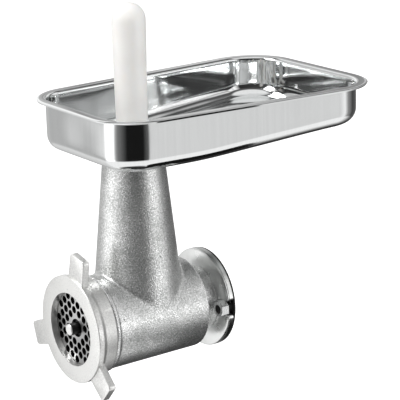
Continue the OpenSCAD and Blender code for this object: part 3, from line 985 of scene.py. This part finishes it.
def white_plastic():
    material, nodes, links, shader = new_material("white_plastic")
    grain = place_group(nodes, grain_group, Grain_Size=0.0009, Pit_Amount=0.1)
    colour = blend_colours(nodes, links, grain.outputs["Drift"], (0.86, 0.848, 0.825), (0.9, 0.89, 0.87))
    finish_shader(links, shader, colour, fit(nodes, links, grain.outputs["Drift"], 0, 1, 0.3, 0.42), 0)
    shader.inputs["Subsurface Weight"].default_value = 0.25
    shader.inputs["Subsurface Radius"].default_value = (0.006, 0.005, 0.004)
    bump(nodes, links, shader, grain.outputs["Height"], 0.00001)
    return material


pusher.data.materials.append(white_plastic())
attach(pusher, "pusher")
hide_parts("pusher")


# --- Studio ---------------------------------------------------------------------------------------
# A plain pale floor well below the head, a black flag that shades the barrel's underside, a bright
# surround with one dark side, and two soft lamps.
FLOOR_Z = -0.2
FLOOR_SIZE = 12
FLAG_SIZE = 0.2
FLAG_PLACE = (0.1, 0.1, -0.13)
bpy.ops.mesh.primitive_plane_add(size=FLOOR_SIZE, location=(0, 0, FLOOR_Z))
floor = bpy.context.object
floor.name = "studio_floor"
paper, nodes, links, shader = new_material("floor_paper")
shader.inputs["Base Color"].default_value = (0.95, 0.95, 0.95, 1)
shader.inputs["Roughness"].default_value = 0.9
shader.inputs["Emission Color"].default_value = (1, 1, 1, 1)
shader.inputs["Emission Strength"].default_value = 0.6
floor.data.materials.append(paper)
floor.visible_glossy = False
floor.visible_diffuse = False

bpy.ops.mesh.primitive_plane_add(size=FLAG_SIZE, location=FLAG_PLACE)
flag = bpy.context.object
flag.name = "black_flag"
felt, nodes, links, shader = new_material("black_felt")
shader.inputs["Base Color"].default_value = (0.01, 0.01, 0.01, 1)
shader.inputs["Roughness"].default_value = 1
shader.inputs["Specular IOR Level"].default_value = 0
flag.data.materials.append(felt)
flag.visible_camera = False
flag.visible_shadow = False

VIEW_AZIMUTH = 55.2
VIEW_ELEVATION = 15.96
VIEW_ROLL = -1.54
VIEW_DISTANCE = 1.529
AIM = Vector((0.0404, -0.0324, 0.1029))

world = bpy.data.worlds.new("studio")
bpy.context.scene.world = world
world.use_nodes = True
nodes, links = world.node_tree.nodes, world.node_tree.links
sky = nodes["Background"]
split = nodes.new("ShaderNodeSeparateXYZ")
links.new(nodes.new("ShaderNodeTexCoord").outputs["Generated"], split.inputs[0])
forwards = maths(nodes, links, "MULTIPLY", split.outputs["Y"], -1)
bearing = maths(nodes, links, "ARCTAN2", split.outputs["X"], forwards)
round_share = fit(nodes, links, bearing, -math.pi, math.pi, 0, 1)


def surround(levels):
    """How bright the surround is at each bearing, in degrees from the ring nut's side towards +X."""
    ramp = nodes.new("ShaderNodeValToRGB")
    links.new(round_share, ramp.inputs["Fac"])
    stops = ramp.color_ramp.elements
    while len(stops) < len(levels):
        stops.new(0.5)
    for stop, (degrees, level) in zip(stops, levels):
        stop.position = (degrees + 180) / 360
        stop.color = (level, level, level, 1)
    return ramp.outputs["Color"]


def layer(share, under, over):
    """Lays one part of the surround over another."""
    mix = nodes.new("ShaderNodeMix")
    mix.data_type = "RGBA"
    links.new(share, mix.inputs["Factor"])
    links.new(under, mix.inputs["A"])
    if isinstance(over, float):
        mix.inputs["B"].default_value = (over, over, over, 1)
    else:
        links.new(over, mix.inputs["B"])
    return mix.outputs["Result"]


# Level band: what the tray's upright walls mirror
level_wall = surround([
    (-180, 0.06), (-150, 0.12), (-120, 0.5), (-80, 0.55), (-60, 0.48), (-52, 1.1), (-45, 1.6),
    (-14, 1.5), (-4, 0.4), (4, 0.2), (20, 0.09), (34, 0.01), (88, 0.01), (96, 0.06), (108, 0.12),
    (114, 0.75), (124, 0.72), (142, 1.0), (156, 0.3), (180, 0.06),
])
# Just above it: what the drafted neck mirrors
neck_wall = surround([
    (-180, 0.06), (-150, 0.3), (-110, 0.75), (-60, 0.9), (-42, 1.7), (14, 1.7), (28, 0.7),
    (46, 0.2), (66, 0.02), (92, 0.02), (99, 0.7), (106, 2.8), (128, 2.8), (140, 0.9), (160, 0.1),
    (180, 0.06),
])
# Upper band: what the tray's floor and the barrel's top mirror
upper_wall = surround([
    (-180, 0.05), (-165, 0.9), (-150, 0.9), (-141, 0.15), (-134, 0.7), (-130, 0.2), (-125, 0.7),
    (-121, 0.3), (-116, 1.1), (-98, 0.9), (-60, 0.5), (-40, 0.95), (-10, 0.95), (2, 0.05),
    (90, 0.03), (103, 0.8), (112, 1.2), (119, 0.5), (124, 1.6), (126.6, 0.1), (127.6, 0.3),
    (128.6, 2.4), (129.4, 1.8), (130.4, 0.05), (131.8, 2.0), (133.2, 0.1), (134.8, 1.8),
    (136.4, 0.2), (143, 0.95), (164, 0.85), (180, 0.05),
])
# Below: what the undersides mirror
under_wall = surround([
    (-180, 0.3), (-165, 0.1), (-150, 0.02), (-118, 0.05), (-105, 0.6), (-75, 0.8), (-60, 1.0),
    (150, 1.0), (165, 0.7), (180, 0.3),
])

height = split.outputs["Z"]
room = layer(fit(nodes, links, height, -0.17, -0.11, 0, 1), level_wall, neck_wall)
room = layer(fit(nodes, links, height, -0.02, 0.12, 0, 1), room, upper_wall)
room = layer(fit(nodes, links, height, 0.66, 0.72, 0, 1), room, 0.1)
room = layer(fit(nodes, links, height, 0.82, 0.88, 0, 1), room, 0.9)
room = layer(fit(nodes, links, height, -0.44, -0.52, 0, 1), room, under_wall)
room = layer(fit(nodes, links, height, -0.88, -0.94, 0, 1), room, 0.03)
seen = nodes.new("ShaderNodeMix")
seen.data_type = "RGBA"
links.new(nodes.new("ShaderNodeLightPath").outputs["Is Camera Ray"], seen.inputs["Factor"])
links.new(room, seen.inputs["A"])
seen.inputs["B"].default_value = (1, 1, 1, 1)
links.new(seen.outputs["Result"], sky.inputs["Color"])
sky.inputs["Strength"].default_value = 1.0


def lamp(name, azimuth, elevation, distance, size, watts, mirrored=True):
    """A soft square lamp aimed at the head from a bearing and a height in degrees."""
    a, e = math.radians(azimuth), math.radians(elevation)
    out = Vector((math.sin(a) * math.cos(e), -math.cos(a) * math.cos(e), math.sin(e)))
    data = bpy.data.lights.new(name, "AREA")
    data.size = size
    data.energy = watts
    light = bpy.data.objects.new(name, data)
    bpy.context.scene.collection.objects.link(light)
    light.location = AIM + out * distance
    light.rotation_mode = "QUATERNION"
    light.rotation_quaternion = (-out).to_track_quat("-Z", "Y")
    light.visible_glossy = mirrored


lamp("key_lamp", -25, 42, 1.6, 0.7, 15)
lamp("fill_lamp", 75, 30, 1.8, 1.0, 16, mirrored=False)

a, e = math.radians(VIEW_AZIMUTH), math.radians(VIEW_ELEVATION)
back = Vector((math.sin(a) * math.cos(e), -math.cos(a) * math.cos(e), math.sin(e)))
camera_data = bpy.data.cameras.new("camera")
camera = bpy.data.objects.new("camera", camera_data)
bpy.context.scene.collection.objects.link(camera)
camera_data.sensor_width = 36
camera_data.lens = 162
camera.location = AIM + back * VIEW_DISTANCE
camera.rotation_mode = "QUATERNION"
aimed = (-back).to_track_quat("-Z", "Y")
camera.rotation_quaternion = aimed @ Quaternion((0, 0, 1), math.radians(VIEW_ROLL))
bpy.context.scene.camera = camera
bpy.context.scene.view_settings.view_transform = "Standard"
